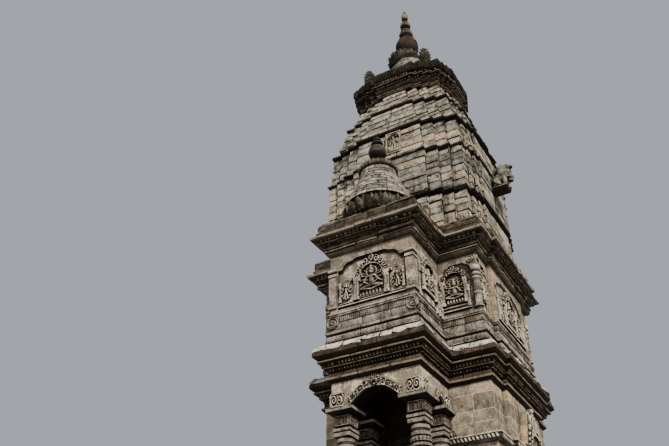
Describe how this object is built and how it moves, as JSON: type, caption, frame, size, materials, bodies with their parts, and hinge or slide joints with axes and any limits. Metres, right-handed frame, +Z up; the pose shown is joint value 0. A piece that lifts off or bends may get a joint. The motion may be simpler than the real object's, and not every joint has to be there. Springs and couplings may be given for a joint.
{
  "type": "stone hindu temple with a tower over a porched shrine",
  "caption": "Stone hindu temple: a curved tower over a small shrine and a columned porch, with deep cornices, a domed turret and a vase finial, on a stepped plinth with a flight of steps.",
  "frame": {"origin": "on the ground, under the axis of the tower", "axes": "+Z up, the porch and the steps face -Y, +X to the right as the front is seen"},
  "size_m": [6.52, 9.635, 18.371],
  "materials": {
    "plinth_stone": "rough weathered stone blocks with dark joints",
    "wall_stone": "tan ashlar, dressed smooth, stained at the joints",
    "cornice_stone": "dark weathered mouldings with pale worn edges",
    "carved_stone": "carved stone, dark in the hollows and pale on the ridges",
    "tower_stone": "pale grey-beige ashlar with lichen",
    "mossy_stone": "carved petals under moss and black lichen",
    "vase_metal": "old red-brown patina, dull"
  },
  "bodies": {
    "root": {"plinth_tier_1": "plinth_stone", "plinth_tier_2": "plinth_stone", "plinth_tier_3": "plinth_stone", "front_stair": "plinth_stone", "stair_cheek_left": "plinth_stone", "stair_cheek_right": "plinth_stone", "back_wall": "wall_stone", "left_wall": "wall_stone", "right_wall": "wall_stone", "front_wall_left": "wall_stone", "front_wall_right": "wall_stone", "front_wall_over_door": "wall_stone", "door_surround": "carved_stone", "front_column_left": "carved_stone", "rear_column_left": "carved_stone", "front_column_right": "carved_stone", "rear_column_right": "carved_stone", "porch_front_arch": "wall_stone", "porch_side_arch_left": "wall_stone", "porch_side_arch_right": "wall_stone", "lower_cornice_body": "cornice_stone", "lower_cornice_porch": "cornice_stone", "base_band_body": "carved_stone", "base_band_porch": "carved_stone", "niche_storey_body": "wall_stone", "niche_storey_porch": "wall_stone", "upper_cornice_body": "cornice_stone", "upper_cornice_porch": "cornice_stone", "tower_band_1": "tower_stone", "tower_band_2": "tower_stone", "tower_band_3": "tower_stone", "tower_band_4": "tower_stone", "tower_band_5": "tower_stone", "turret_lotus": "mossy_stone", "turret_bell": "wall_stone", "turret_disc": "cornice_stone", "turret_ball": "wall_stone", "top_cornice": "cornice_stone", "finial_base": "wall_stone", "finial_lotus": "mossy_stone", "finial_vase": "vase_metal", "finial_spire": "wall_stone", "lion_right": "carved_stone", "lion_left": "carved_stone", "lion_back": "carved_stone"}
  },
  "joints": []
}
